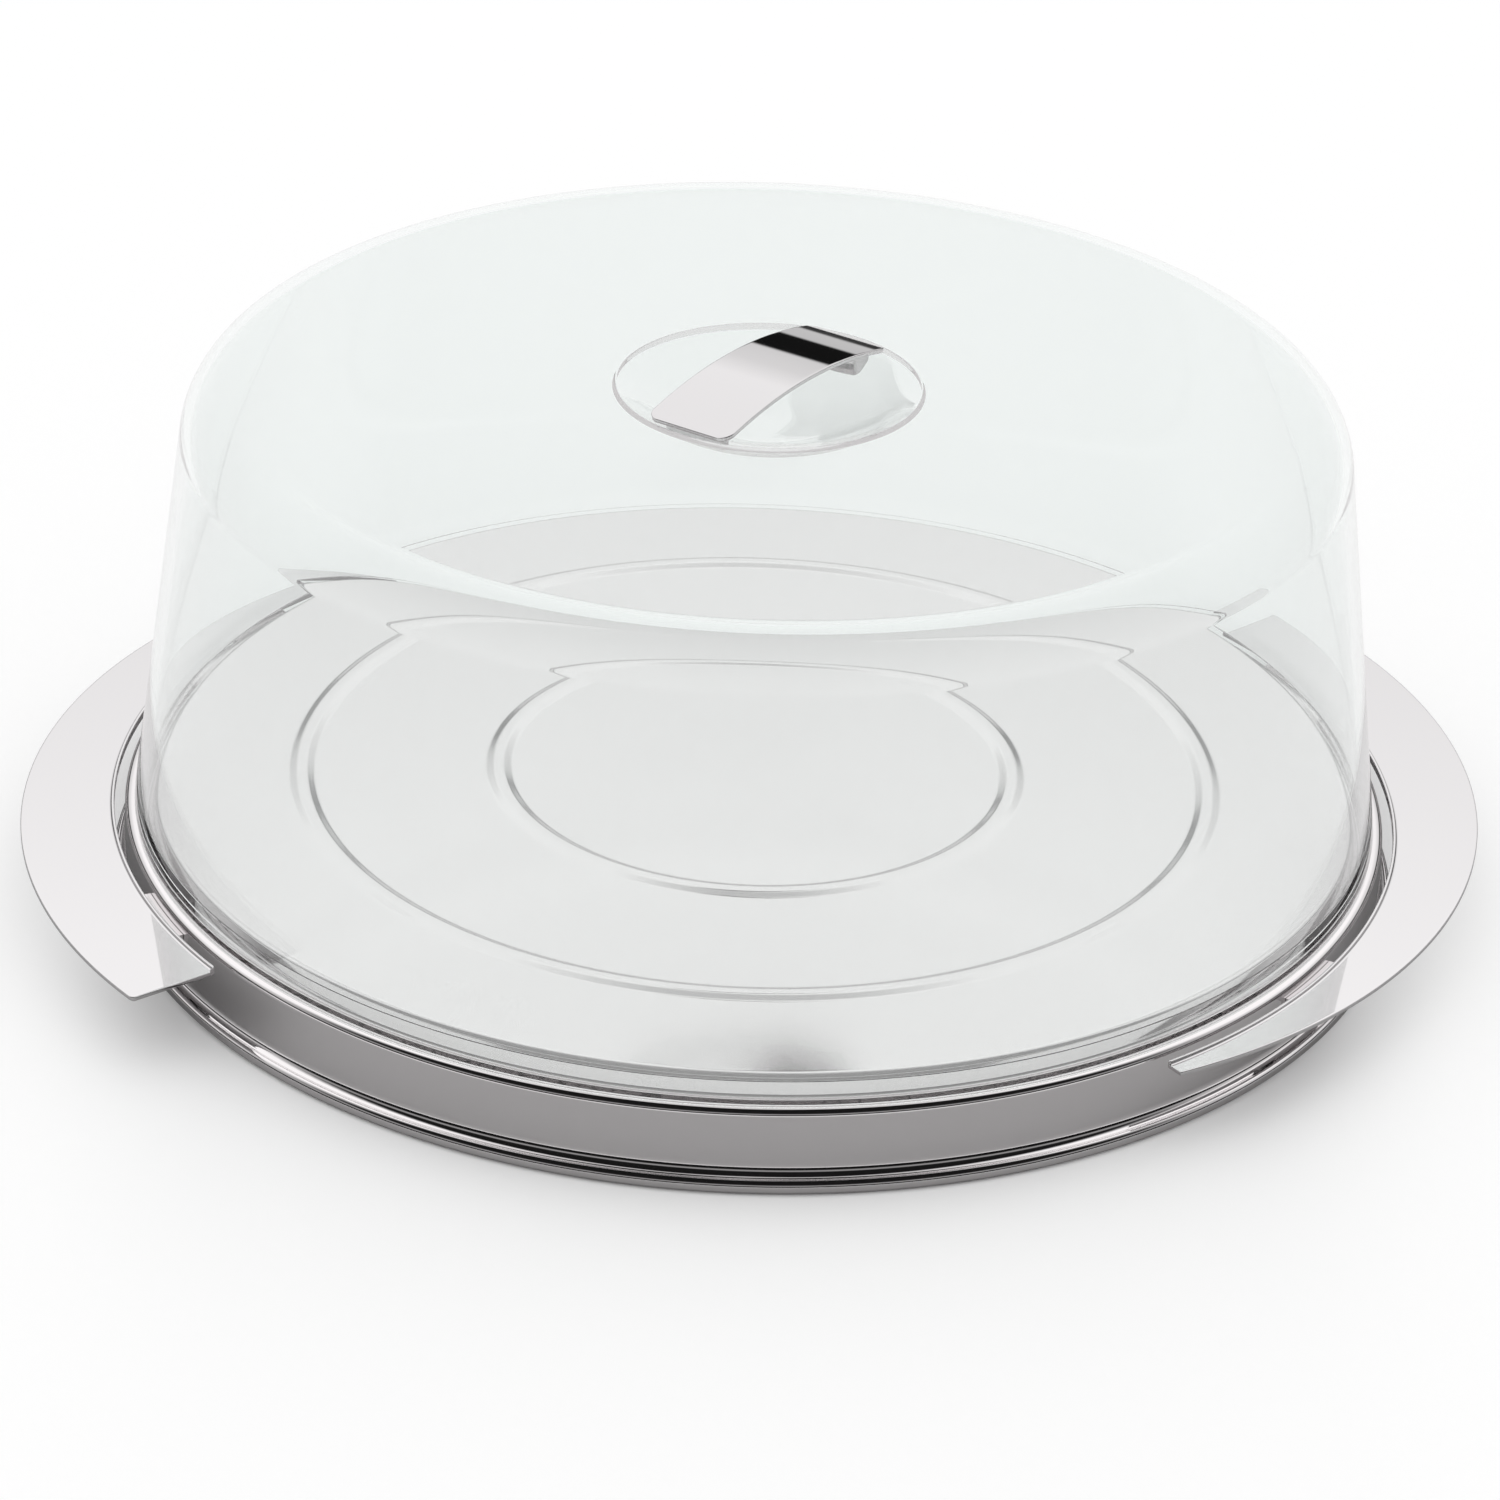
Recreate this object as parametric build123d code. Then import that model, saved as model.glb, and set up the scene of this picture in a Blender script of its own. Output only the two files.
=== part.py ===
from build123d import *
import math
import os

# Cake stand with a clear lift-off dome.
# Millimetres, +Z up, origin at the middle of the foot circle, on the table.

# Tray, pressed and spun from one round of steel sheet
foot_radius = 165.0           # outermost reach of the rolled foot
foot_bead_radius = 2.05       # section radius of the rolled foot
foot_flat = 0.05              # how much of the bead is worn flat where it stands
sheet = 0.8                   # thickness of the tray's sheet
ledge_height = 21.4           # ledge that the dome stands on
rim_inset = 3.6               # how far the rim stands inside the foot
rim_rounding = 2.0
wall_flare = 0.7              # how far the wall leans out on its way down
neck_height = 6.6             # where the wall turns out to meet the rolled foot
neck_rounding = 4.0
step_rise = 5.3               # from the ledge up to the plate
step_run = 1.8
step_clearance = 0.95         # between the dome's foot and the plate's step
step_rounding = 1.5
corner_rounding = 0.8

# Dome, one moulding of clear plastic
dome_inset = 2.35             # how far the dome stands inside the rim
dome_rise = 112.45            # from the ledge up to the flat top
dome_draw = 14.65             # how far the wall leans in on its way up
dome_wall = 2.8
shoulder_rounding = 14.5
foot_band_height = 4.8        # thicker band round the open edge
foot_band_extra = 0.7
foot_band_rounding = 0.3

# Sizes that follow from those above
rim_radius = foot_radius - rim_inset
dome_foot_radius = rim_radius - dome_inset
dome_top_radius = dome_foot_radius - dome_draw
dome_height = ledge_height + dome_rise
ledge_inner_radius = dome_foot_radius - dome_wall - foot_band_extra - step_clearance
plate_radius = ledge_inner_radius - step_run
plate_height = ledge_height + step_rise

# Two shallow raised rings pressed into the plate
ring_insets = (86.8, 36.5)    # from the plate's edge in to the middle of each ring
ring_base_width = 6.4
ring_top_width = 2.6
ring_rise = 0.9
ring_rounding = 1.6

# Side handles, two crescents of flat sheet, one turned half round from the other
handle_sheet = 1.2
handle_drop = 2.0             # from the rim down to the handle's upper face
handle_gap = 2.8              # open slot between the rim and the handle
handle_width = 24.65          # widest reach of the crescent
handle_arc_offset = 24.0      # how far the outer arc's centre stands from the middle
handle_arc_heading = 23.4     # direction of that centre, in degrees
wide_end_heading = 38.5       # direction of the wide cut end
tip_end_heading = -52.4       # direction of the narrow tip
handle_corner = 1.2
lip_width = 0.8               # raised lip along the handle's inner edge
lip_rise = 0.9
handle_inner = rim_radius + handle_gap
handle_arc_radius = handle_inner + handle_width - handle_arc_offset
handle_top = ledge_height - handle_drop

# Brackets that carry each handle from the wall
bracket_sheet = 1.2
bracket_headings = (-32.0, 27.0)
bracket_span = 8.0            # width of a bracket, in degrees
bracket_reach = 9.0           # how far it runs under the handle
bracket_drop = 9.0            # how far its leg runs down the wall
weld_gap = 0.1

# Finger well in the top of the dome
well_radius = 38.2
well_depth = 11.0
well_floor_radius = 20.0
well_rounding = 50.0
well_rim_rounding = 1.2

# Bowed grip that bridges the well
grip_heading = 56.5           # direction that the grip runs in, in degrees
grip_rise = 5.45              # top of the bow above the dome's flat top
grip_end_inset = 2.7          # from the well's rim in to the grip's end
grip_width = 24.0
grip_sheet = 1.2
grip_bow_radius = 142.0
grip_corner = 5.0
grip_foot_length = 6.0
grip_foot_width = 16.0
grip_foot_inset = 4.5         # from the grip's end to the middle of its foot
grip_foot_corner = 1.5
bond_gap = 0.1
grip_top = dome_height + grip_rise
grip_length = 2 * (well_radius - grip_end_inset)


def shifted_corners(corners, distance):
    """Corners of a polyline moved sideways by distance, to the right of its direction."""
    normals = []
    for (r0, z0), (r1, z1) in zip(corners, corners[1:]):
        length = math.hypot(r1 - r0, z1 - z0)
        normals.append(((z1 - z0) / length, -(r1 - r0) / length))
    moved = []
    for index, (r, z) in enumerate(corners):
        before = normals[max(index - 1, 0)]
        after = normals[min(index, len(normals) - 1)]
        scale = distance / (1.0 + before[0] * after[0] + before[1] * after[1])
        moved.append((r + scale * (before[0] + after[0]), z + scale * (before[1] + after[1])))
    return moved


def turn_sign(corners, index):
    """Positive where the polyline turns to the left at this corner."""
    (r0, z0), (r1, z1), (r2, z2) = corners[index - 1:index + 2]
    return (r1 - r0) * (z2 - z1) - (z1 - z0) * (r2 - r1)


def wall_section(corners, roundings, thickness):
    """Closed section of a wall whose outer face follows the rounded corners."""
    inner = shifted_corners(corners, thickness)
    inner_roundings = []
    for index, rounding in enumerate(roundings):
        grows = turn_sign(corners, index + 1) > 0
        rounding = rounding + thickness if grows else rounding - thickness
        inner_roundings.append(max(rounding, 0.1))
    outer_line = FilletPolyline(*corners, radius=list(roundings))
    inner_line = FilletPolyline(*inner, radius=inner_roundings)
    start_line = Line(corners[0], inner[0])
    end_line = Line(corners[-1], inner[-1])
    return make_face([*outer_line.edges(), *inner_line.edges(), start_line, end_line])


def spun(section, degrees=360.0, start=0.0):
    """Section drawn in radius and height, turned about the upright axis."""
    upright = Plane.XZ * section
    solid = revolve(upright, axis=Axis.Z, revolution_arc=degrees)
    return Rot(0, 0, start) * solid


def ring_corners(radius):
    """Corners of one raised ring of the plate."""
    base = ring_base_width / 2
    top = ring_top_width / 2
    return [
        (radius - base, plate_height),
        (radius - top, plate_height + ring_rise),
        (radius + top, plate_height + ring_rise),
        (radius + base, plate_height),
    ]


bead_centre = foot_radius - foot_bead_radius


def make_tray():
    corners = [(0.0, plate_height)]
    roundings = []
    for inset in ring_insets:
        corners += ring_corners(plate_radius - inset)
        roundings += [ring_rounding] * 4
    corners += [
        (plate_radius, plate_height),
        (ledge_inner_radius, ledge_height),
        (rim_radius, ledge_height),
        (rim_radius + wall_flare, neck_height),
        (bead_centre + foot_bead_radius / 4, foot_bead_radius * 1.5),
    ]
    roundings += [step_rounding, corner_rounding, rim_rounding, neck_rounding]
    shell = spun(wall_section(corners, roundings, sheet))
    bead = Pos(bead_centre, foot_bead_radius - foot_flat) * Circle(foot_bead_radius)
    table = Pos(bead_centre, -foot_bead_radius) * Rectangle(4 * foot_bead_radius, 2 * foot_bead_radius)
    return shell + spun(bead - table)


def wedge(start, end, reach):
    """Flat sector between two directions, out to reach."""
    corners = [(0.0, 0.0)]
    for heading in (start, (start + end) / 2, end):
        angle = math.radians(heading)
        corners.append((reach * math.cos(angle), reach * math.sin(angle)))
    return make_face(Polyline(*corners, close=True))


def make_handle(turn):
    heading = math.radians(handle_arc_heading)
    centre = (handle_arc_offset * math.cos(heading), handle_arc_offset * math.sin(heading))
    reach = 2 * (handle_arc_radius + handle_arc_offset)
    sector = wedge(tip_end_heading, wide_end_heading, reach)
    outline = Pos(*centre) * Circle(handle_arc_radius)
    flat = (outline - Circle(handle_inner)) & sector
    wide_corners = flat.vertices().sort_by(Axis.Y)[-2:]
    flat = fillet(wide_corners, handle_corner)
    plate = extrude(flat, handle_sheet)
    lip_ring = Circle(handle_inner + lip_width) - Circle(handle_inner)
    lip = extrude((lip_ring & sector) & flat, handle_sheet + lip_rise)
    handle = Pos(0, 0, handle_top - handle_sheet) * (plate + lip)
    return Rot(0, 0, turn) * handle


def make_bracket(heading):
    """Angle of sheet, one leg down the wall and one leg under the handle."""
    top = handle_top - handle_sheet - weld_gap
    lean = wall_flare / (ledge_height - neck_height)
    wall_top = rim_radius + lean * (ledge_height - top) + weld_gap
    wall_foot = rim_radius + lean * (ledge_height - top + bracket_drop) + weld_gap
    section = Polyline(
        (wall_top, top),
        (handle_inner + bracket_reach, top),
        (handle_inner + bracket_reach, top - bracket_sheet),
        (wall_top + bracket_sheet, top - bracket_sheet),
        (wall_foot + bracket_sheet, top - bracket_drop),
        (wall_foot, top - bracket_drop),
        close=True,
    )
    return spun(make_face(section), bracket_span, heading - bracket_span / 2)


well_corners = [(0.0, dome_height - well_depth), (well_floor_radius, dome_height - well_depth),
                (well_radius, dome_height)]


def make_dome():
    lean = (dome_foot_radius - dome_top_radius) / (dome_height - ledge_height)
    below = (dome_foot_radius + lean * dome_wall, ledge_height - dome_wall)
    corners = well_corners + [(dome_top_radius, dome_height), below]
    roundings = [well_rounding, well_rim_rounding, shoulder_rounding]
    shell = spun(wall_section(corners, roundings, dome_wall))
    above_ledge = Pos(0, 0, ledge_height) * extrude(Circle(foot_radius), dome_height)
    shell = shell & above_ledge
    band_inner = dome_foot_radius - dome_wall - foot_band_extra
    middle = dome_foot_radius - dome_wall / 2
    band = Polyline(
        (band_inner, ledge_height),
        (middle, ledge_height),
        (middle - lean * foot_band_height, ledge_height + foot_band_height),
        (band_inner, ledge_height + foot_band_height),
        close=True,
    )
    dome = shell + spun(make_face(band))
    foot_edges = dome.edges().group_by(Axis.Z)[0]
    return fillet(foot_edges, foot_band_rounding)


grip_axis_height = grip_top - grip_bow_radius


def bow_round(radius):
    """Long round bar whose upper side is the grip's bow."""
    bar = Rot(90, 0, 0) * Cylinder(radius, 3 * grip_width)
    return Pos(0, 0, grip_axis_height) * bar


def make_grip():
    outline = RectangleRounded(grip_length, grip_width, grip_corner)
    block = Pos(0, 0, dome_height - well_depth) * extrude(outline, 2 * well_depth)
    bow = bow_round(grip_bow_radius) - bow_round(grip_bow_radius - grip_sheet)
    return Rot(0, 0, grip_heading) * (block & bow)


def make_grip_foot(side):
    """Block between the underside of the grip and the slope of the well."""
    outline = RectangleRounded(grip_foot_length, grip_foot_width, grip_foot_corner)
    block = Pos(side * (grip_length / 2 - grip_foot_inset), 0, dome_height - well_depth)
    block = block * extrude(outline, 2 * well_depth)
    raised = [(radius, height + bond_gap) for radius, height in well_corners]
    slope = FilletPolyline(*raised, radius=[well_rounding])
    lid_height = dome_height + well_depth
    lid = Polyline((well_radius, dome_height + bond_gap), (well_radius, lid_height), (0.0, lid_height),
                   raised[0])
    well_space = spun(make_face([*slope.edges(), *lid.edges()]))
    under_grip = bow_round(grip_bow_radius - grip_sheet - bond_gap)
    return Rot(0, 0, grip_heading) * (block & well_space & under_grip)


def make_pieces():
    pieces = {
        "tray_base": make_tray(),
        "right_handle": make_handle(0),
        "left_handle": make_handle(180),
        "dome_shell": make_dome(),
        "grip_strap": make_grip(),
        "grip_foot_front": make_grip_foot(-1),
        "grip_foot_rear": make_grip_foot(1),
    }
    for side, turn in (("right", 0), ("left", 180)):
        for end, heading in zip(("tip", "wide"), bracket_headings):
            pieces[f"{side}_{end}_bracket"] = make_bracket(heading + turn)
    return pieces


os.makedirs("parts", exist_ok=True)
for name, piece in make_pieces().items():
    export_step(piece, f"parts/{name}.step")
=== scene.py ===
import logging
import math
from dataclasses import dataclass, field
from enum import Enum

import bmesh
import bpy
import numpy as np
from mathutils import Matrix, Vector


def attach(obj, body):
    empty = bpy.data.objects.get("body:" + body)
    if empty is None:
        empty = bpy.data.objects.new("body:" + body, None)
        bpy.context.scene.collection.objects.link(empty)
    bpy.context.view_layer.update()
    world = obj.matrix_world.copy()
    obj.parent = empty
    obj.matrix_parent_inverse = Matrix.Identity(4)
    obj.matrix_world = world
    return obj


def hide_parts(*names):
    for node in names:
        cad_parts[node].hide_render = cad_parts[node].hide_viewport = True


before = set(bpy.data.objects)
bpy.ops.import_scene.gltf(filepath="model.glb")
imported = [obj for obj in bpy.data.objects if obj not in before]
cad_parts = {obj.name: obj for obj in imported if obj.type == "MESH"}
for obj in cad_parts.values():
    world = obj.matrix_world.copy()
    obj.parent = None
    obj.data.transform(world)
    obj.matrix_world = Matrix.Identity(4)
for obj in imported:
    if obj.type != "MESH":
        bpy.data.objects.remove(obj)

LOG = logging.getLogger("cake_stand")
MM = 0.001
FAR = 100.0                     # stands in for a section's width while it is laid out, in mm
PLATE_EDGE = (0.1505, 0.1525)   # radii where the dull plate passes into the step, in metres
SWITCH = (0.4, 0.6)             # ends of a passage that turns over at one half
TRAPPED_DEPTH = 4.5             # bounces after which light leaves the plastic straight
BARE_WALLS = 0.5                # fewer plastic faces passed: the steel stands bare
DOME_WALLS = 3.5                # more plastic faces passed: in through the dome and out

Corner = tuple[float, float]
Colour = tuple[float, float, float]


class Body(Enum):
    """CAD bodies that the pieces ride on."""

    BASE = "base"
    DOME = "dome"


class Slot(Enum):
    """Material slots of the record."""

    TRAY = "tray_steel"
    HANDLE = "handle_steel"
    GRIP = "grip_steel"
    DOME = "clear_plastic"


class Side(Enum):
    """The two handles, as the turn that places each, in degrees."""

    RIGHT = 0.0
    LEFT = 180.0


# ---------------------------------------------------------------- profiles


def moved_corners(corners: list[Corner], distance: float) -> list[Corner]:
    """Corners of an open polyline moved to the right of its direction.

    With unit normals n0 and n1 of the two sides at a corner, the corner moves by
    distance * (n0 + n1) / (1 + n0.n1), which keeps both sides parallel.

    Args:
        corners: The polyline's corners.
        distance: How far it moves, in the corners' unit.

    Returns:
        The moved corners.
    """
    points = np.array(corners, float)
    steps = np.diff(points, axis=0)
    steps /= np.linalg.norm(steps, axis=1, keepdims=True)
    normals = np.stack([steps[:, 1], -steps[:, 0]], axis=1)
    before = np.vstack([normals[:1], normals])
    after = np.vstack([normals, normals[-1:]])
    scale = distance / (1.0 + (before * after).sum(axis=1, keepdims=True))
    return [tuple(p) for p in points + scale * (before + after)]


def left_turns(corners: list[Corner]) -> np.ndarray:
    """Whether each inner corner of a polyline turns to the left."""
    steps = np.diff(np.array(corners, float), axis=0)
    return steps[:-1, 0] * steps[1:, 1] - steps[:-1, 1] * steps[1:, 0] > 0


def rounded_line(corners: list[Corner], roundings: list[float], step: float = 5.0,
                 support: float = 0.2) -> np.ndarray:
    """Points along an open polyline whose inner corners are rounded.

    A corner that turns by t with radius r starts r * tan(t / 2) before the corner and
    ends as far behind it. A support point stands close to each end of an arc, so that
    the smooth shading of a long flat side stays flat.

    Args:
        corners: The polyline's corners.
        roundings: One radius for each inner corner, 0 for a sharp one.
        step: Largest turn between two points of an arc, in degrees.
        support: Distance of the support points from the arcs.

    Returns:
        The points, shape (n, 2).
    """
    points = np.array(corners, float)
    steps = np.diff(points, axis=0)
    lengths = np.linalg.norm(steps, axis=1)
    ways = steps / lengths[:, None]
    cut = np.zeros(len(points))
    arcs = []
    for i, radius in enumerate(roundings, start=1):
        u, v = ways[i - 1], ways[i]
        turn = math.atan2(u[0] * v[1] - u[1] * v[0], float(u @ v))
        if radius <= 0.0 or abs(turn) < 1e-6:
            arcs.append(points[i:i + 1])
            continue
        cut[i] = radius * math.tan(abs(turn) / 2)
        side = np.array([-u[1], u[0]]) * math.copysign(1.0, turn)
        centre = points[i] - cut[i] * u + radius * side
        count = max(2, math.ceil(abs(math.degrees(turn)) / step)) + 1
        swing = np.linspace(0.0, turn, count)
        arm = -radius * side
        arcs.append(centre + np.stack([arm[0] * np.cos(swing) - arm[1] * np.sin(swing),
                                       arm[0] * np.sin(swing) + arm[1] * np.cos(swing)], axis=1))
    pieces = [points[:1]]
    for i, way in enumerate(ways):
        room = lengths[i] - cut[i] - cut[i + 1]
        if room > 3 * support:
            pieces.append((points[i] + (cut[i] + support) * way)[None])
            pieces.append((points[i + 1] - (cut[i + 1] + support) * way)[None])
        pieces.append(arcs[i] if i < len(arcs) else points[-1:])
    line = np.vstack(pieces)
    fresh = np.linalg.norm(np.diff(line, axis=0), axis=1) > 1e-6
    return line[np.concatenate([[True], fresh])]


# ---------------------------------------------------------------- meshes


def mesh_object(name: str, vertices: np.ndarray, faces: list[list[int]]) -> bpy.types.Object:
    """Smooth-shaded object from vertices in millimetres, faces turned outward.

    Args:
        name: The object's name.
        vertices: Vertex positions, shape (n, 3).
        faces: Vertex indices of each face.

    Returns:
        The object, at the origin.
    """
    mesh = bpy.data.meshes.new(name)
    mesh.from_pydata((vertices * MM).tolist(), [], faces)
    work = bmesh.new()
    work.from_mesh(mesh)
    bmesh.ops.remove_doubles(work, verts=work.verts, dist=1e-7)
    bmesh.ops.dissolve_degenerate(work, dist=1e-7, edges=work.edges)
    bmesh.ops.recalc_face_normals(work, faces=work.faces)
    work.to_mesh(mesh)
    work.free()
    mesh.polygons.foreach_set("use_smooth", np.ones(len(mesh.polygons), bool))
    mesh.update()
    made = bpy.data.objects.new(name, mesh)
    bpy.context.scene.collection.objects.link(made)
    return made


def grid_faces(stations: int, ring: int, closed: bool) -> list[list[int]]:
    """Quads between neighbouring stations of a grid whose rings close on themselves.

    Args:
        stations: Number of stations along the piece.
        ring: Number of points round each station.
        closed: Whether the last station joins the first.

    Returns:
        Vertex indices of the quads.
    """
    along = np.arange(stations if closed else stations - 1)
    here, there = np.meshgrid(along, np.arange(ring), indexing="ij")
    ahead, beside = (here + 1) % stations, (there + 1) % ring
    quads = np.stack([here * ring + there, ahead * ring + there,
                      ahead * ring + beside, here * ring + beside], axis=-1)
    return quads.reshape(-1, 4).tolist()


def lathe(name: str, profile: np.ndarray, segments: int) -> bpy.types.Object:
    """Turns a closed profile about the upright axis.

    Point (r, z) at angle a becomes (r cos a, r sin a, z). Points on the axis meet in
    one vertex when doubles are merged.

    Args:
        name: The object's name.
        profile: Radius and height of each point, in millimetres, shape (n, 2).
        segments: Number of steps round the axis.

    Returns:
        The object.
    """
    angles = np.arange(segments) * (2 * math.pi / segments)
    r, z = profile[:, 0], profile[:, 1]
    grid = np.stack([np.outer(np.cos(angles), r), np.outer(np.sin(angles), r),
                     np.broadcast_to(z, (segments, len(z)))], axis=-1)
    return mesh_object(name, grid.reshape(-1, 3), grid_faces(segments, len(profile), True))


@dataclass(frozen=True)
class EdgeSection:
    """Closed section with rounded edges, whose far side can stand at any width.

    A point lies at base + width * wide + (rounding - inset) * normal. With inset equal
    to rounding every rounded edge shrinks to its centre, which closes the piece's ends.

    Attributes:
        base: Positions of the arcs' centres and of the flats, moved in by the rounding.
        wide: 1 for the points that follow the width, else 0.
        normal: Direction of each point from its base.
        rounding: Radius of the edges.
    """

    base: np.ndarray
    wide: np.ndarray
    normal: np.ndarray
    rounding: float

    @classmethod
    def from_corners(cls, corners: list[tuple[float, float, float]], rounding: float,
                     steps: int = 6, support: float = 0.25) -> "EdgeSection":
        """Builds the section from its corners, counter-clockwise.

        Args:
            corners: Across, up, and 1 where the corner follows the width, else 0.
            rounding: Radius of the convex edges.
            steps: Number of steps in each rounded edge.
            support: Distance of the support points from the arcs.

        Returns:
            The section.
        """
        spread = np.array([[across + FAR * wide, up] for across, up, wide in corners])
        wide_flags = [wide for _, _, wide in corners]
        ways = np.roll(spread, -1, axis=0) - spread
        lengths = np.linalg.norm(ways, axis=1)
        ways = ways / lengths[:, None]
        outs = np.stack([ways[:, 1], -ways[:, 0]], axis=1)
        bases, flags, normals = [], [], []
        for i, (point, wide) in enumerate(zip(spread, wide_flags)):
            before, after = outs[i - 1], outs[i]
            point = point - np.array([FAR * wide, 0.0])
            turn = ways[i - 1][0] * ways[i][1] - ways[i - 1][1] * ways[i][0]
            centre = point - rounding * (before + after)
            if turn > 0:
                share = np.linspace(0.0, math.pi / 2, steps + 1)[:, None]
                arc = np.cos(share) * before + np.sin(share) * after
            else:
                arc = (before + after)[None]
            bases.append(np.broadcast_to(centre, arc.shape))
            normals.append(arc)
            flags.append(np.full(len(arc), wide))
            if lengths[i] > 2 * rounding + 3 * support:
                other = wide_flags[(i + 1) % len(corners)]
                end = spread[(i + 1) % len(corners)] - np.array([FAR * other, 0.0])
                start_cut = (rounding if turn > 0 else 0.0) + support
                bases.append(np.stack([point + start_cut * ways[i] - rounding * after,
                                       end - (rounding + support) * ways[i] - rounding * after]))
                normals.append(np.stack([after, after]))
                flags.append(np.array([wide, other]))
        return cls(np.vstack(bases), np.concatenate(flags).astype(float), np.vstack(normals),
                   rounding)

    def at(self, widths: np.ndarray, insets: np.ndarray, trims: np.ndarray) -> np.ndarray:
        """Section points at each station.

        Args:
            widths: Width at each station.
            insets: How far the edges are drawn in at each station, for the ends.
            trims: How far both sides are cut back at each station, for rounded corners.

        Returns:
            Across and up, shape (stations, points, 2).
        """
        reach = (self.rounding - insets)[:, None, None] * self.normal
        points = self.base + reach
        across = points[..., 0] + np.where(self.wide > 0, (widths - trims)[:, None],
                                           trims[:, None])
        return np.stack([across, points[..., 1]], axis=-1)


def end_insets(distance: np.ndarray, radius: float) -> np.ndarray:
    """Depth of a quarter round at a distance s from its end: r - sqrt(r^2 - (r - s)^2)."""
    rest = np.clip(radius - distance, 0.0, radius)
    return radius - np.sqrt(radius * radius - rest * rest)


def end_spaced(length: float, steps: int, radius: float, fine: int = 7) -> np.ndarray:
    """Stations from 0 to length, close together over each end's rounding.

    Args:
        length: Length of the piece.
        steps: Number of even steps between the ends.
        radius: Radius of the rounding at each end.
        fine: Number of stations in each rounding.

    Returns:
        Distances from the start.
    """
    near = radius * (1.0 - np.cos(np.linspace(0.0, math.pi / 2, fine)))
    middle = np.linspace(radius + 0.2, length - radius - 0.2, steps)
    return np.concatenate([near, middle, length - near[::-1]])


def swept(name: str, grid: np.ndarray) -> bpy.types.Object:
    """Closed piece from sections at stations, with a flat face at each end.

    Args:
        name: The object's name.
        grid: Points in millimetres, shape (stations, ring, 3).

    Returns:
        The object.
    """
    stations, ring = grid.shape[:2]
    faces = grid_faces(stations, ring, False)
    faces.append(list(range(ring)))
    faces.append(list(range((stations - 1) * ring, stations * ring)))
    return mesh_object(name, grid.reshape(-1, 3), faces)


# ---------------------------------------------------------------- materials


def node_group(name: str, inputs: dict[str, float], outputs: list[str]) -> bpy.types.NodeTree:
    """New shader node group with float sockets.

    Args:
        name: The group's name.
        inputs: Input sockets and their default values.
        outputs: Output sockets.

    Returns:
        The group, with its input and output nodes in place.
    """
    group = bpy.data.node_groups.new(name, "ShaderNodeTree")
    for label, value in inputs.items():
        socket = group.interface.new_socket(label, in_out="INPUT", socket_type="NodeSocketFloat")
        socket.default_value = value
    for label in outputs:
        group.interface.new_socket(label, in_out="OUTPUT", socket_type="NodeSocketFloat")
    group.nodes.new("NodeGroupInput").name = "In"
    group.nodes.new("NodeGroupOutput").name = "Out"
    return group


def math_node(tree: bpy.types.NodeTree, operation: str, *values: object) -> bpy.types.NodeSocket:
    """Adds a Math node and feeds it sockets or plain numbers.

    Args:
        tree: The node tree.
        operation: The node's operation.
        *values: Sockets or numbers, in order.

    Returns:
        The result's socket.
    """
    node = tree.nodes.new("ShaderNodeMath")
    node.operation = operation
    for socket, value in zip(node.inputs, values):
        if isinstance(value, (int, float)):
            socket.default_value = value
        else:
            tree.links.new(value, socket)
    return node.outputs[0]


def spun_grain_group() -> bpy.types.NodeTree:
    """Fine rings left by spinning, on a plate that is duller than the polished rim.

    The roughness is the rim's, plus noise along the radius, plus the plate's extra
    roughness inside the step.
    """
    group = node_group("spun_grain", {"Roughness": 0.1, "Amount": 0.04, "Scale": 900.0,
                                      "Plate": 0.07}, ["Roughness"])
    source, sink = group.nodes["In"], group.nodes["Out"]
    place = group.nodes.new("ShaderNodeTexCoord")
    split = group.nodes.new("ShaderNodeSeparateXYZ")
    group.links.new(place.outputs["Object"], split.inputs[0])
    square = math_node(group, "ADD", math_node(group, "POWER", split.outputs[0], 2.0),
                       math_node(group, "POWER", split.outputs[1], 2.0))
    radius = math_node(group, "SQRT", square)
    noise = group.nodes.new("ShaderNodeTexNoise")
    noise.noise_dimensions = "1D"
    noise.inputs["Detail"].default_value = 4.0
    group.links.new(radius, noise.inputs["W"])
    group.links.new(source.outputs["Scale"], noise.inputs["Scale"])
    centred = math_node(group, "SUBTRACT", noise.outputs[0], 0.5)
    inside = group.nodes.new("ShaderNodeMapRange")
    inside.inputs["From Min"].default_value = PLATE_EDGE[1]
    inside.inputs["From Max"].default_value = PLATE_EDGE[0]
    group.links.new(radius, inside.inputs["Value"])
    change = math_node(group, "ADD", math_node(group, "MULTIPLY", centred,
                                               source.outputs["Amount"]),
                       math_node(group, "MULTIPLY", inside.outputs[0], source.outputs["Plate"]))
    group.links.new(math_node(group, "ADD", source.outputs["Roughness"], change),
                    sink.inputs["Roughness"])
    return group


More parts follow.
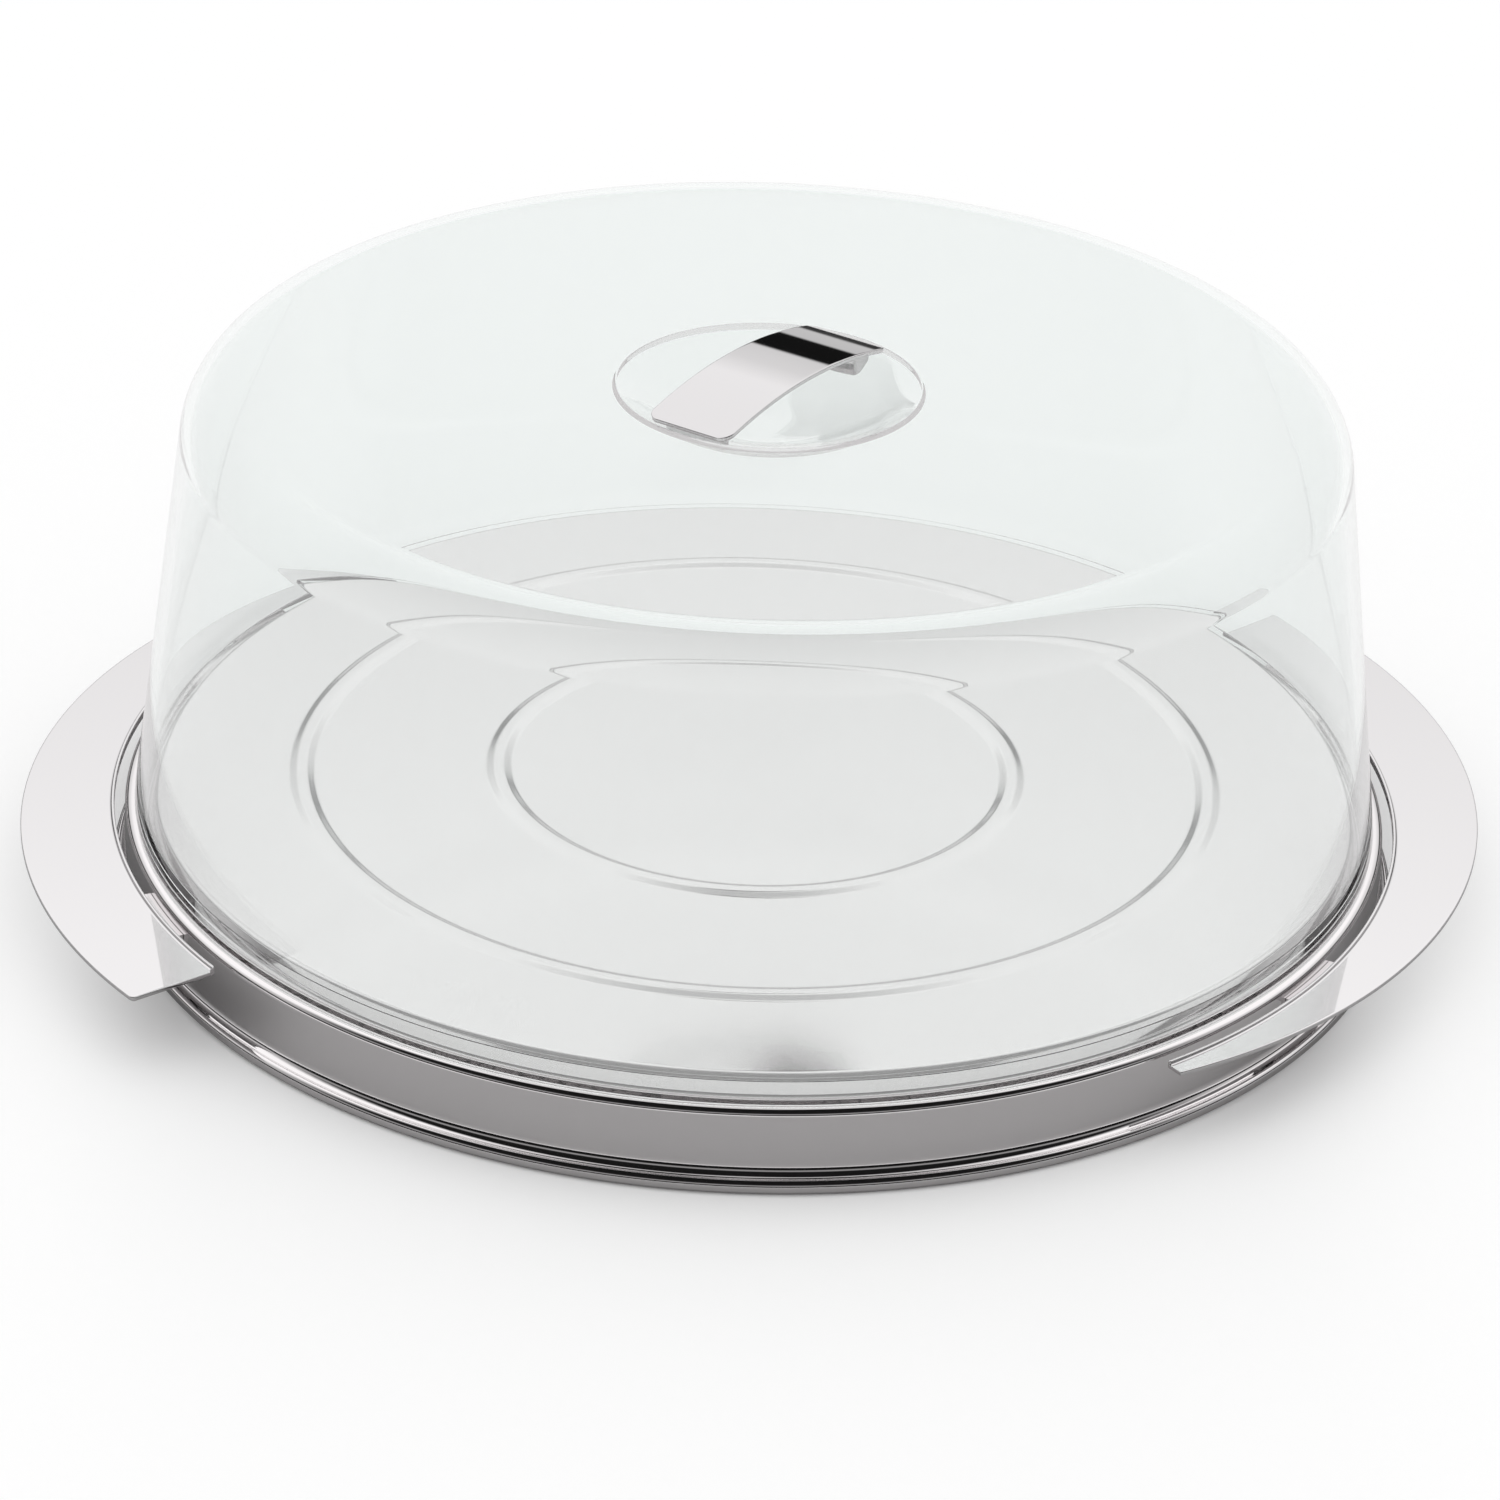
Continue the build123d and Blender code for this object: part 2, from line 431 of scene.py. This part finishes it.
def smudge_group() -> bpy.types.NodeTree:
    """Faint cloudy smudges that raise the roughness of a polished face."""
    group = node_group("smudges", {"Roughness": 0.03, "Amount": 0.05, "Scale": 28.0},
                       ["Roughness"])
    source, sink = group.nodes["In"], group.nodes["Out"]
    place = group.nodes.new("ShaderNodeTexCoord")
    noise = group.nodes.new("ShaderNodeTexNoise")
    noise.inputs["Detail"].default_value = 3.0
    noise.inputs["Distortion"].default_value = 0.6
    group.links.new(place.outputs["Object"], noise.inputs["Vector"])
    group.links.new(source.outputs["Scale"], noise.inputs["Scale"])
    spread = group.nodes.new("ShaderNodeMapRange")
    spread.interpolation_type = "SMOOTHSTEP"
    spread.inputs["From Min"].default_value = 0.5
    spread.inputs["From Max"].default_value = 0.8
    group.links.new(noise.outputs[0], spread.inputs["Value"])
    change = math_node(group, "MULTIPLY", spread.outputs[0], source.outputs["Amount"])
    group.links.new(math_node(group, "ADD", source.outputs["Roughness"], change),
                    sink.inputs["Roughness"])
    return group


@dataclass(frozen=True)
class SteelFinish:
    """Stainless steel.

    Attributes:
        name: The material's name.
        colour: Colour of the metal.
        roughness: Roughness between the marks of the effect.
        effect: Name of the node group that varies the roughness.
        amount: Strength of the effect.
        scale: Fineness of the effect.
    """

    name: str
    colour: Colour
    roughness: float
    effect: str
    amount: float
    scale: float

    def build(self) -> bpy.types.Material:
        """Makes the Blender material."""
        material = bpy.data.materials.new(self.name)
        material.use_nodes = True
        tree = material.node_tree
        shader = tree.nodes["Principled BSDF"]
        shader.inputs["Base Color"].default_value = (*self.colour, 1.0)
        shader.inputs["Metallic"].default_value = 1.0
        effect = tree.nodes.new("ShaderNodeGroup")
        effect.node_tree = bpy.data.node_groups[self.effect]
        effect.inputs["Roughness"].default_value = self.roughness
        effect.inputs["Amount"].default_value = self.amount
        effect.inputs["Scale"].default_value = self.scale
        tree.links.new(effect.outputs["Roughness"], shader.inputs["Roughness"])
        return material


@dataclass(frozen=True)
class PlasticFinish:
    """Clear moulded plastic that lets lamp light through to what stands under it.

    Light that has run along inside the wall for several bounces also leaves it, so that
    the moulding's edges stay light.

    Attributes:
        name: The material's name.
        tint: Share of the light left by each surface.
        roughness: Roughness of the moulded face.
        ior: Index of refraction.
        shade: Share of the lamp light that one wall lets through.
    """

    name: str
    tint: Colour
    roughness: float
    ior: float
    shade: float

    def build(self) -> bpy.types.Material:
        """Makes the Blender material."""
        material = bpy.data.materials.new(self.name)
        material.use_nodes = True
        tree = material.node_tree
        shader = tree.nodes["Principled BSDF"]
        shader.inputs["Base Color"].default_value = (*self.tint, 1.0)
        shader.inputs["Roughness"].default_value = self.roughness
        shader.inputs["IOR"].default_value = self.ior
        shader.inputs["Transmission Weight"].default_value = 1.0
        clear = tree.nodes.new("ShaderNodeBsdfTransparent")
        clear.inputs["Color"].default_value = (self.shade, self.shade, self.shade, 1.0)
        path = tree.nodes.new("ShaderNodeLightPath")
        mix = tree.nodes.new("ShaderNodeMixShader")
        trapped = math_node(tree, "GREATER_THAN", path.outputs["Ray Depth"], TRAPPED_DEPTH)
        lamp_light = math_node(tree, "MAXIMUM", path.outputs["Is Shadow Ray"],
                               path.outputs["Is Diffuse Ray"])
        tree.links.new(math_node(tree, "MAXIMUM", lamp_light, trapped), mix.inputs[0])
        tree.links.new(shader.outputs[0], mix.inputs[1])
        tree.links.new(clear.outputs[0], mix.inputs[2])
        tree.links.new(mix.outputs[0], tree.nodes["Material Output"].inputs["Surface"])
        return material


@dataclass(frozen=True)
class Finishes:
    """Every finish of the object."""

    tray: SteelFinish = SteelFinish("tray_steel_finish", (0.725, 0.70, 0.705), 0.06, "spun_grain",
                                    0.05, 2600.0)
    handle: SteelFinish = SteelFinish("handle_steel_finish", (0.66, 0.645, 0.65), 0.035,
                                      "smudges", 0.05, 30.0)
    grip: SteelFinish = SteelFinish("grip_steel_finish", (0.6, 0.585, 0.59), 0.03, "smudges",
                                    0.04, 60.0)
    dome: PlasticFinish = PlasticFinish("clear_plastic_finish", (0.935, 0.957, 0.95), 0.0, 1.49,
                                        0.92)

    def build(self) -> dict[Slot, bpy.types.Material]:
        """Makes the node groups and then the materials, by slot."""
        spun_grain_group()
        smudge_group()
        return {Slot.TRAY: self.tray.build(), Slot.HANDLE: self.handle.build(),
                Slot.GRIP: self.grip.build(), Slot.DOME: self.dome.build()}


# ---------------------------------------------------------------- the object


@dataclass
class Piece:
    """A finer mesh that stands for one CAD node.

    Attributes:
        node: The CAD node.
        body: The body that it rides on.
        slot: Its material slot.
    """

    node: str
    body: Body
    slot: Slot

    def mesh(self) -> bpy.types.Object:
        """Builds the piece's mesh."""
        raise NotImplementedError

    def place(self, materials: dict[Slot, bpy.types.Material]) -> bpy.types.Object:
        """Builds the piece, gives it its finish and ties it to the frame.

        Args:
            materials: The materials by slot.

        Returns:
            The object.
        """
        made = self.mesh()
        made.data.materials.append(materials[self.slot])
        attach(made, self.body.value)
        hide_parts(self.node)
        LOG.info("%s stands for %s: %d faces", made.name, self.node, len(made.data.polygons))
        return made


@dataclass
class Tray(Piece):
    """Raised plate with two pressed rings, step, ledge, rim, wall and rolled foot."""

    node: str = "tray_base"
    body: Body = Body.BASE
    slot: Slot = Slot.TRAY
    sheet: float = 0.8
    plate_height: float = 26.7
    ring_radii: tuple[float, float] = (66.0, 116.3)
    ring_half_widths: tuple[float, float] = (3.2, 1.3)
    ring_rise: float = 0.9
    ring_rounding: float = 1.6
    edge: tuple[tuple[float, float, float], ...] = (
        (152.8, 26.7, 1.5), (154.6, 21.4, 0.8), (161.4, 21.4, 2.0), (162.1, 6.6, 4.0))
    bead_centre: tuple[float, float] = (162.95, 2.0)
    bead_radius: float = 2.05
    bead_entry: tuple[float, float] = (0.25, 1.5)
    segments: int = 360

    def profile(self) -> np.ndarray:
        """Closed section: upper face out and down, round the bead, and back underneath."""
        corners: list[Corner] = [(0.0, self.plate_height)]
        roundings: list[float] = []
        base, top = self.ring_half_widths
        for radius in self.ring_radii:
            for offset, rise in ((-base, 0.0), (-top, self.ring_rise), (top, self.ring_rise),
                                 (base, 0.0)):
                corners.append((radius + offset, self.plate_height + rise))
                roundings.append(self.ring_rounding)
        for radius, height, rounding in self.edge:
            corners.append((radius, height))
            roundings.append(rounding)
        out, up = self.bead_entry
        corners.append((self.bead_centre[0] + self.bead_radius * out, self.bead_radius * up))
        inner_corners = moved_corners(corners, self.sheet)
        inner_roundings = [max(r + (self.sheet if left else -self.sheet), 0.1)
                           for r, left in zip(roundings, left_turns(corners))]
        outer = self.above_bead(rounded_line(corners, roundings, 4.0))
        inner = self.above_bead(rounded_line(inner_corners, inner_roundings, 9.0))
        return np.vstack([outer, self.bead(outer[-1], inner[-1]), inner[::-1]])

    def above_bead(self, line: np.ndarray) -> np.ndarray:
        """The part of a line that ends where it enters the bead."""
        centre = np.array(self.bead_centre)
        tail = line[-2] + np.linspace(0.0, 1.0, 400)[:, None] * (line[-1] - line[-2])
        outside = np.linalg.norm(tail - centre, axis=1) > self.bead_radius
        return np.vstack([line[:-1], tail[outside][-1:]])

    def bead(self, start: np.ndarray, end: np.ndarray) -> np.ndarray:
        """Points round the bead, clockwise from start to end, flat where it stands.

        Args:
            start: Where the outer face meets the bead.
            end: Where the inner face meets it.

        Returns:
            The points between them.
        """
        centre = np.array(self.bead_centre)
        first, last = (math.atan2(*(p - centre)[::-1]) for p in (start, end))
        turn = (last - first) % (2 * math.pi) - 2 * math.pi
        angles = first + np.linspace(0.0, turn, 60)[1:-1]
        points = centre + self.bead_radius * np.stack([np.cos(angles), np.sin(angles)], axis=1)
        return np.maximum(points, [0.0, 0.0])

    def mesh(self) -> bpy.types.Object:
        """Turns the section about the upright axis."""
        return lathe("tray", self.profile(), self.segments)


@dataclass
class Handle(Piece):
    """Crescent of flat sheet with a raised lip along its inner edge."""

    node: str = "right_handle"
    body: Body = Body.BASE
    slot: Slot = Slot.HANDLE
    side: Side = Side.RIGHT
    inner_radius: float = 164.2
    arc_radius: float = 164.85
    arc_offset: float = 24.0
    arc_heading: float = 23.4
    headings: tuple[float, float] = (-52.4, 38.5)
    top: float = 19.4
    sheet: float = 1.2
    lip_width: float = 0.8
    lip_rise: float = 0.9
    edge_rounding: float = 0.3
    corner_rounding: float = 1.2
    steps: int = 150

    def mesh(self) -> bpy.types.Object:
        """Sweeps the section along the inner edge.

        With d the arc's offset and t the heading from the arc's centre line, the outer
        edge stands at d cos t + sqrt(R^2 - d^2 sin^2 t) from the middle.
        """
        section = EdgeSection.from_corners([
            (0.0, self.top - self.sheet, 0), (0.0, self.top - self.sheet, 1), (0.0, self.top, 1),
            (self.lip_width, self.top, 0), (self.lip_width, self.top + self.lip_rise, 0),
            (0.0, self.top + self.lip_rise, 0)], self.edge_rounding)
        first, last = np.radians(self.headings)
        length = self.inner_radius * (last - first)
        along = end_spaced(length, self.steps, self.corner_rounding, 12)
        headings = first + along / self.inner_radius
        from_arc = headings - math.radians(self.arc_heading)
        outer = self.arc_offset * np.cos(from_arc) + np.sqrt(
            self.arc_radius ** 2 - (self.arc_offset * np.sin(from_arc)) ** 2)
        near_end = np.minimum(along, length - along)
        insets = end_insets(near_end, self.edge_rounding)
        trims = end_insets(length - along, self.corner_rounding)
        points = section.at(outer - self.inner_radius, insets, trims)
        radius = self.inner_radius + points[..., 0]
        turned = (headings + math.radians(self.side.value))[:, None]
        grid = np.stack([radius * np.cos(turned), radius * np.sin(turned), points[..., 1]],
                        axis=-1)
        return swept(self.side.name.lower() + "_crescent", grid)


@dataclass
class DomeShell(Piece):
    """Clear moulding: finger well, flat top, shoulder, leaning wall and foot band."""

    node: str = "dome_shell"
    body: Body = Body.DOME
    slot: Slot = Slot.DOME
    wall: float = 2.8
    corners: tuple[Corner, ...] = ((0.0, 122.85), (20.0, 122.85), (38.2, 133.85),
                                   (144.4, 133.85), (159.05, 21.4))
    roundings: tuple[float, ...] = (50.0, 1.2, 14.5)
    band_radius: float = 155.55
    band_height: float = 26.2
    foot_rounding: float = 0.3
    segments: int = 480

    def mesh(self) -> bpy.types.Object:
        """Turns the section: outer face down, round the foot band, inner face up."""
        corners = list(self.corners)
        inner = moved_corners(corners, self.wall)
        inner_roundings = [max(r + (self.wall if left else -self.wall), 0.1)
                           for r, left in zip(self.roundings, left_turns(corners))]
        (top_radius, top_height), (foot_radius, foot_height) = inner[-2:]
        share = (self.band_height - top_height) / (foot_height - top_height)
        joint = (top_radius + share * (foot_radius - top_radius), self.band_height)
        foot = corners[-1][1]
        whole = corners + [(self.band_radius, foot), (self.band_radius, self.band_height), joint]
        whole += inner[-2::-1]
        roundings = [*self.roundings, self.foot_rounding, self.foot_rounding, 0.0, 0.0]
        roundings += inner_roundings[::-1]
        return lathe("dome", rounded_line(whole, roundings, 2.5), self.segments)


@dataclass
class GripStrap(Piece):
    """Bowed strip that bridges the finger well."""

    node: str = "grip_strap"
    body: Body = Body.DOME
    slot: Slot = Slot.GRIP
    heading: float = 56.5
    length: float = 72.4
    width: float = 24.0
    sheet: float = 1.2
    bow_radius: float = 142.0
    top: float = 139.3
    edge_rounding: float = 0.3
    corner_rounding: float = 3.5
    steps: int = 90

    def mesh(self) -> bpy.types.Object:
        """Sweeps the strip's section along the bow.

        A section point at height u over the strip's middle line lies at distance R + u
        from the bow's axis, at the angle asin(x / R) for a station x from the middle.
        """
        section = EdgeSection.from_corners([
            (0.0, -self.sheet, 0), (0.0, -self.sheet, 1), (0.0, 0.0, 1), (0.0, 0.0, 0)],
            self.edge_rounding)
        along = end_spaced(self.length, self.steps, self.corner_rounding, 20)
        near_end = np.minimum(along, self.length - along)
        insets = end_insets(near_end, self.edge_rounding)
        trims = end_insets(near_end, self.corner_rounding)
        points = section.at(np.full(len(along), self.width), insets, trims)
        angle = np.arcsin((along - self.length / 2) / self.bow_radius)[:, None]
        reach = self.bow_radius + points[..., 1]
        x, y = reach * np.sin(angle), self.width / 2 - points[..., 0]
        z = self.top - self.bow_radius + reach * np.cos(angle)
        turn = math.radians(self.heading)
        grid = np.stack([x * math.cos(turn) - y * math.sin(turn),
                         x * math.sin(turn) + y * math.cos(turn), z], axis=-1)
        return swept("grip", grid)


@dataclass
class CadPieces:
    """CAD nodes that are shown as they are.

    Attributes:
        slots: The nodes and the slot of each.
    """

    slots: dict[str, Slot] = field(default_factory=lambda: {
        "grip_foot_front": Slot.GRIP, "grip_foot_rear": Slot.GRIP,
        "right_tip_bracket": Slot.TRAY, "right_wide_bracket": Slot.TRAY,
        "left_tip_bracket": Slot.TRAY, "left_wide_bracket": Slot.TRAY})

    def place(self, materials: dict[Slot, bpy.types.Material]) -> None:
        """Gives each node the finish of its slot.

        Args:
            materials: The materials by slot.
        """
        for name, slot in self.slots.items():
            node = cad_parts[name]
            node.data.materials.clear()
            node.data.materials.append(materials[slot])
            LOG.info("CAD node %s takes %s", name, slot.value)


# ---------------------------------------------------------------- the studio


@dataclass
class Studio:
    """White floor, soft light from above, and the room that polished steel shows.

    Attributes:
        floor_size: Side of the floor, in metres.
        floor_colour: Colour of the floor.
        sky: Share of the light from all round.
        lamp_elevation: Height of the soft lamp behind the object, in degrees.
        lamp_spread: Width of the lamp in the sky, in degrees.
        shade_radii: Where the floor's deeper shade starts to fade and where it ends.
        shade: Strength of that shade, which only polished faces show.
        painted_glow_from: Distances to the side where the floor starts to glow with painted light
            for the camera, paling the shadow under the handles, and where the glow is fullest.
        painted_glow: Share of painted white glow there, which stands in for fill light.
        front: Brightness of the room on the camera's side by elevation in degrees.
        back: Brightness of the room behind the object by elevation in degrees.
        slot: Brightness of the narrow part straight behind the object.
        room_facing: Where the front passes into the back. 1 faces straight behind the
            object, -1 the camera's side.
        slot_facing: Where the back passes into the narrow part.
        under_dome: Least brightness of the room for what the dome covers.
    """

    floor_size: float = 40.0
    floor_colour: float = 1.0
    sky: float = 0.93
    lamp_elevation: float = 55.0
    lamp_spread: float = 80.0
    shade_radii: tuple[float, float] = (0.215, 0.32)
    shade: float = 0.5
    painted_glow_from: tuple[float, float] = (0.12, 0.18)
    painted_glow: float = 0.55
    front: tuple[tuple[float, float], ...] = (
        (0.0, 0.01), (11.0, 0.01), (14.0, 0.35), (24.0, 0.35), (27.0, 0.05), (36.0, 0.01),
        (84.0, 0.01), (90.0, 0.7))
    back: tuple[tuple[float, float], ...] = (
        (0.0, 0.02), (7.0, 0.02), (13.0, 0.85), (24.0, 1.05), (30.0, 1.32), (62.0, 1.32),
        (78.0, 0.75), (90.0, 0.7))
    slot: tuple[tuple[float, float], ...] = (
        (0.0, 0.05), (2.0, 0.05), (3.0, 0.75), (8.2, 0.75), (9.0, 0.01), (17.0, 0.01),
        (17.8, 0.95), (24.0, 1.05), (30.0, 1.32), (62.0, 1.32), (78.0, 0.75), (90.0, 0.7))
    room_facing: tuple[float, float] = (-0.3, 0.3)
    slot_facing: tuple[float, float] = (0.96, 0.975)
    under_dome: float = 0.35

    def floor(self) -> None:
        """Lays the floor at height 0."""
        half = self.floor_size / 2
        mesh = bpy.data.meshes.new("floor")
        mesh.from_pydata([(-half, -half, 0), (half, -half, 0), (half, half, 0), (-half, half, 0)],
                         [], [(0, 1, 2, 3)])
        made = bpy.data.objects.new("floor", mesh)
        bpy.context.scene.collection.objects.link(made)
        material = bpy.data.materials.new("floor_white")
        material.use_nodes = True
        shader = material.node_tree.nodes["Principled BSDF"]
        shader.inputs["Roughness"].default_value = 1.0
        shader.inputs["Specular IOR Level"].default_value = 0.0
        self.shade_floor(material.node_tree, shader)
        mesh.materials.append(material)

    def shade_floor(self, tree: bpy.types.NodeTree, shader: bpy.types.Node) -> None:
        """Paints deeper shade into the floor where steel mirrors it, and paints light under the
        handles: a white glow, seen by the camera only, that pales the shadow there.

        Args:
            tree: The floor material's node tree.
            shader: The floor's shader.
        """
        place = tree.nodes.new("ShaderNodeTexCoord")
        distance = tree.nodes.new("ShaderNodeVectorMath")
        distance.operation = "LENGTH"
        tree.links.new(place.outputs["Object"], distance.inputs[0])
        near = self.blend(tree, distance.outputs["Value"], *self.shade_radii, self.shade, 0.0)
        path = tree.nodes.new("ShaderNodeLightPath")
        in_steel = math_node(tree, "SUBTRACT", path.outputs["Is Glossy Ray"],
                             path.outputs["Is Singular Ray"])
        shade = math_node(tree, "MULTIPLY", near, in_steel)
        split = tree.nodes.new("ShaderNodeSeparateXYZ")
        tree.links.new(place.outputs["Object"], split.inputs[0])
        aside = math_node(tree, "ABSOLUTE", split.outputs[0])
        # Painted light: near the handles the floor glows white for camera rays, which pales their
        # shadow on the floor.
        painted_glow_share = math_node(tree, "MULTIPLY", path.outputs["Is Camera Ray"], self.blend(
            tree, aside, *self.painted_glow_from, 0.0, self.painted_glow))
        colour = math_node(tree, "MULTIPLY", self.floor_colour, math_node(
            tree, "SUBTRACT", 1.0, math_node(tree, "ADD", shade, painted_glow_share)))
        tree.links.new(colour, shader.inputs["Base Color"])
        tree.links.new(painted_glow_share, shader.inputs["Emission Color"])
        shader.inputs["Emission Strength"].default_value = 1.0

    def lamp(self) -> None:
        """Hangs the soft lamp that gives the floor the rest of its light.

        A sun of strength S at elevation e lights a white floor to S sin e / pi.
        """
        data = bpy.data.lights.new("soft_lamp", "SUN")
        rise = math.radians(self.lamp_elevation)
        data.energy = (1.0 - self.sky) * math.pi / math.sin(rise)
        data.angle = math.radians(self.lamp_spread)
        made = bpy.data.objects.new("soft_lamp", data)
        made.rotation_euler = (rise - math.pi / 2, 0.0, 0.0)
        made.visible_glossy = False
        made.visible_transmission = False
        bpy.context.scene.collection.objects.link(made)

    def ramp(self, tree: bpy.types.NodeTree, elevation: bpy.types.NodeSocket,
             stops: tuple[tuple[float, float], ...]) -> bpy.types.NodeSocket:
        """Brightness by elevation.

        Args:
            tree: The world's node tree.
            elevation: Elevation as a share of 90 degrees.
            stops: Elevation in degrees and brightness.

        Returns:
            The colour socket.
        """
        node = tree.nodes.new("ShaderNodeValToRGB")
        node.color_ramp.interpolation = "LINEAR"
        elements = node.color_ramp.elements
        while len(elements) < len(stops):
            elements.new(0.5)
        for element, (angle, value) in zip(elements, stops):
            element.position = angle / 90.0
            element.color = (value, value, value, 1.0)
        tree.links.new(elevation, node.inputs[0])
        return node.outputs[0]

    def blend(self, tree: bpy.types.NodeTree, value: bpy.types.NodeSocket, low: float,
              high: float, before: object, after: object) -> bpy.types.NodeSocket:
        """Passes from one brightness to another as a value goes from low to high.

        Args:
            tree: The node tree.
            value: The value that decides.
            low: Where the passage starts.
            high: Where it ends.
            before: Socket or number below low.
            after: Socket or number above high.

        Returns:
            The mixed socket.
        """
        share = tree.nodes.new("ShaderNodeMapRange")
        share.interpolation_type = "SMOOTHSTEP"
        share.inputs["From Min"].default_value = low
        share.inputs["From Max"].default_value = high
        tree.links.new(value, share.inputs["Value"])
        kept = math_node(tree, "MULTIPLY", math_node(tree, "SUBTRACT", 1.0, share.outputs[0]),
                         before)
        return math_node(tree, "ADD", kept,
                         math_node(tree, "MULTIPLY", share.outputs[0], after))

    def world(self) -> None:
        """Soft light for matt faces, white for the camera, the room mirrored in steel.

        Light that comes out of sharp plastic is singular, and gets plain white unless
        it has been in through the dome, off the steel and out again.
        """
        world = bpy.data.worlds.new("studio")
        bpy.context.scene.world = world
        world.use_nodes = True
        tree = world.node_tree
        place = tree.nodes.new("ShaderNodeTexCoord")
        split = tree.nodes.new("ShaderNodeSeparateXYZ")
        tree.links.new(place.outputs["Generated"], split.inputs[0])
        lifted = math_node(tree, "ARCSINE", split.outputs[2])
        elevation = math_node(tree, "MULTIPLY", lifted, 2.0 / math.pi)
        level = math_node(tree, "SQRT", math_node(tree, "SUBTRACT", 1.0, math_node(
            tree, "POWER", split.outputs[2], 2.0)))
        facing = math_node(tree, "DIVIDE", split.outputs[1],
                           math_node(tree, "MAXIMUM", level, 1e-4))
        behind = self.blend(tree, facing, *self.slot_facing,
                            self.ramp(tree, elevation, self.back),
                            self.ramp(tree, elevation, self.slot))
        room = self.blend(tree, facing, *self.room_facing,
                          self.ramp(tree, elevation, self.front), behind)
        path = tree.nodes.new("ShaderNodeLightPath")
        plain = self.blend(tree, path.outputs["Is Diffuse Ray"], *SWITCH, 1.0, self.sky)
        walls = path.outputs["Transmission Depth"]
        bare = math_node(tree, "SUBTRACT", math_node(tree, "LESS_THAN", walls, BARE_WALLS),
                         path.outputs["Is Singular Ray"])
        under_dome = math_node(tree, "GREATER_THAN", walls, DOME_WALLS)
        room = math_node(tree, "MAXIMUM", room,
                         math_node(tree, "MULTIPLY", under_dome, self.under_dome))
        mirrored = math_node(tree, "MULTIPLY", math_node(tree, "MAXIMUM", bare, under_dome),
                             path.outputs["Glossy Depth"])
        light = self.blend(tree, mirrored, *SWITCH, plain, room)
        final = self.blend(tree, path.outputs["Is Diffuse Ray"], *SWITCH, light, plain)
        background = tree.nodes["Background"]
        tree.links.new(final, background.inputs["Color"])
        background.inputs["Strength"].default_value = 1.0

    def build(self) -> None:
        """Builds floor, lamp and world."""
        self.floor()
        self.lamp()
        self.world()
        bpy.context.scene.view_settings.view_transform = "Standard"


@dataclass
class PhotoCamera:
    """Camera fitted to the photograph.

    Attributes:
        place: Position in metres.
        target: Point in the middle of the picture.
        roll: How far the camera is turned, in degrees.
        lens: Focal length on a 36 mm sensor.
    """

    place: tuple[float, float, float] = (0.0, -1.2516, 0.6867)
    target: tuple[float, float, float] = (-0.001558, 0.0, 0.03111)
    roll: float = 2.02
    lens: float = 131.89

    def build(self) -> bpy.types.Object:
        """Makes the camera and sets it as the scene's."""
        data = bpy.data.cameras.new("photo_camera")
        data.lens = self.lens
        data.sensor_width = 36.0
        data.clip_start, data.clip_end = 0.05, 100.0
        camera = bpy.data.objects.new("photo_camera", data)
        forward = (Vector(self.target) - Vector(self.place)).normalized()
        right = forward.cross(Vector((0.0, 0.0, 1.0))).normalized()
        up = right.cross(forward)
        turn = math.radians(self.roll)
        turned_right = math.cos(turn) * right + math.sin(turn) * up
        turned_up = math.cos(turn) * up - math.sin(turn) * right
        axes = Matrix((turned_right, turned_up, -forward)).transposed()
        camera.matrix_world = Matrix.Translation(Vector(self.place)) @ axes.to_4x4()
        bpy.context.scene.collection.objects.link(camera)
        bpy.context.scene.camera = camera
        return camera


# ---------------------------------------------------------------- main


def main() -> None:
    """Builds the object, the studio and the camera, in that order."""
    logging.basicConfig(level=logging.INFO, format="%(name)s: %(message)s")
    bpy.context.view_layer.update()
    materials = Finishes().build()
    pieces: list[Piece] = [
        Tray(), Handle(), Handle(node="left_handle", side=Side.LEFT), DomeShell(), GripStrap()]
    for piece in pieces:
        piece.place(materials)
    CadPieces().place(materials)
    Studio().build()
    PhotoCamera().build()


if __name__ == "__main__":
    main()
